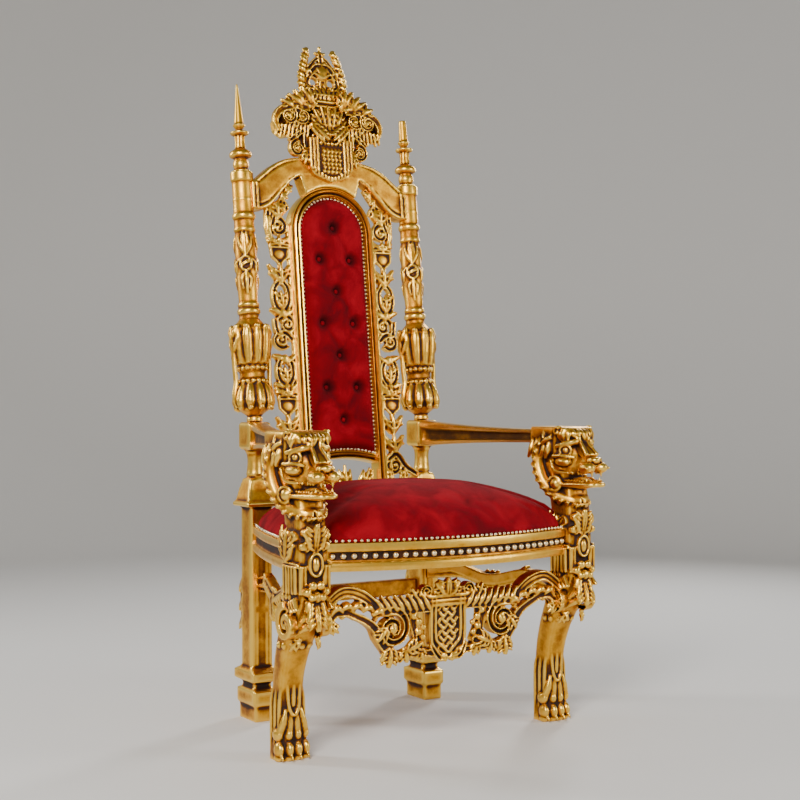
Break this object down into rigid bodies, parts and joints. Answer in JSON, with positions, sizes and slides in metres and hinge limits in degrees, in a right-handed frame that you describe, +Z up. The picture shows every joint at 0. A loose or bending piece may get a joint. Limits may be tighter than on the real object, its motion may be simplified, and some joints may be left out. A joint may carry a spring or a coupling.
{
  "type": "throne",
  "caption": "High-backed gilt carved armchair with lion-head arms, paw feet, pierced side panels, crowned crest and red buttoned velvet.",
  "frame": {"origin": "middle of the throne's box on the floor", "axes": "+Z up along the throne's height, -Y the way a sitter faces, +X the viewer's right"},
  "size_m": [0.9366, 0.7759, 1.8492],
  "materials": {
    "gilt_wood": "carved hardwood in rubbed gold leaf over red-brown ground",
    "red_velvet": "deep red cotton velvet"
  },
  "bodies": {
    "root": {"rear_leg_left": "gilt_wood", "rear_leg_right": "gilt_wood", "back_post_left": "gilt_wood", "back_post_right": "gilt_wood", "finial_left": "gilt_wood", "finial_right": "gilt_wood", "panel_frame": "gilt_wood", "back_cushion": "red_velvet", "top_rail": "gilt_wood", "fretwork_left": "gilt_wood", "fretwork_right": "gilt_wood", "lower_back_carving": "gilt_wood", "crest": "gilt_wood", "lion_leg_left": "gilt_wood", "lion_leg_right": "gilt_wood", "arm_left": "gilt_wood", "arm_right": "gilt_wood", "seat_rail_front": "gilt_wood", "seat_rail_left": "gilt_wood", "seat_rail_right": "gilt_wood", "seat_rail_rear": "gilt_wood", "seat_cushion": "red_velvet", "front_stretcher": "gilt_wood", "side_stretcher_left": "gilt_wood", "side_stretcher_right": "gilt_wood", "rear_stretcher": "gilt_wood"}
  },
  "joints": []
}
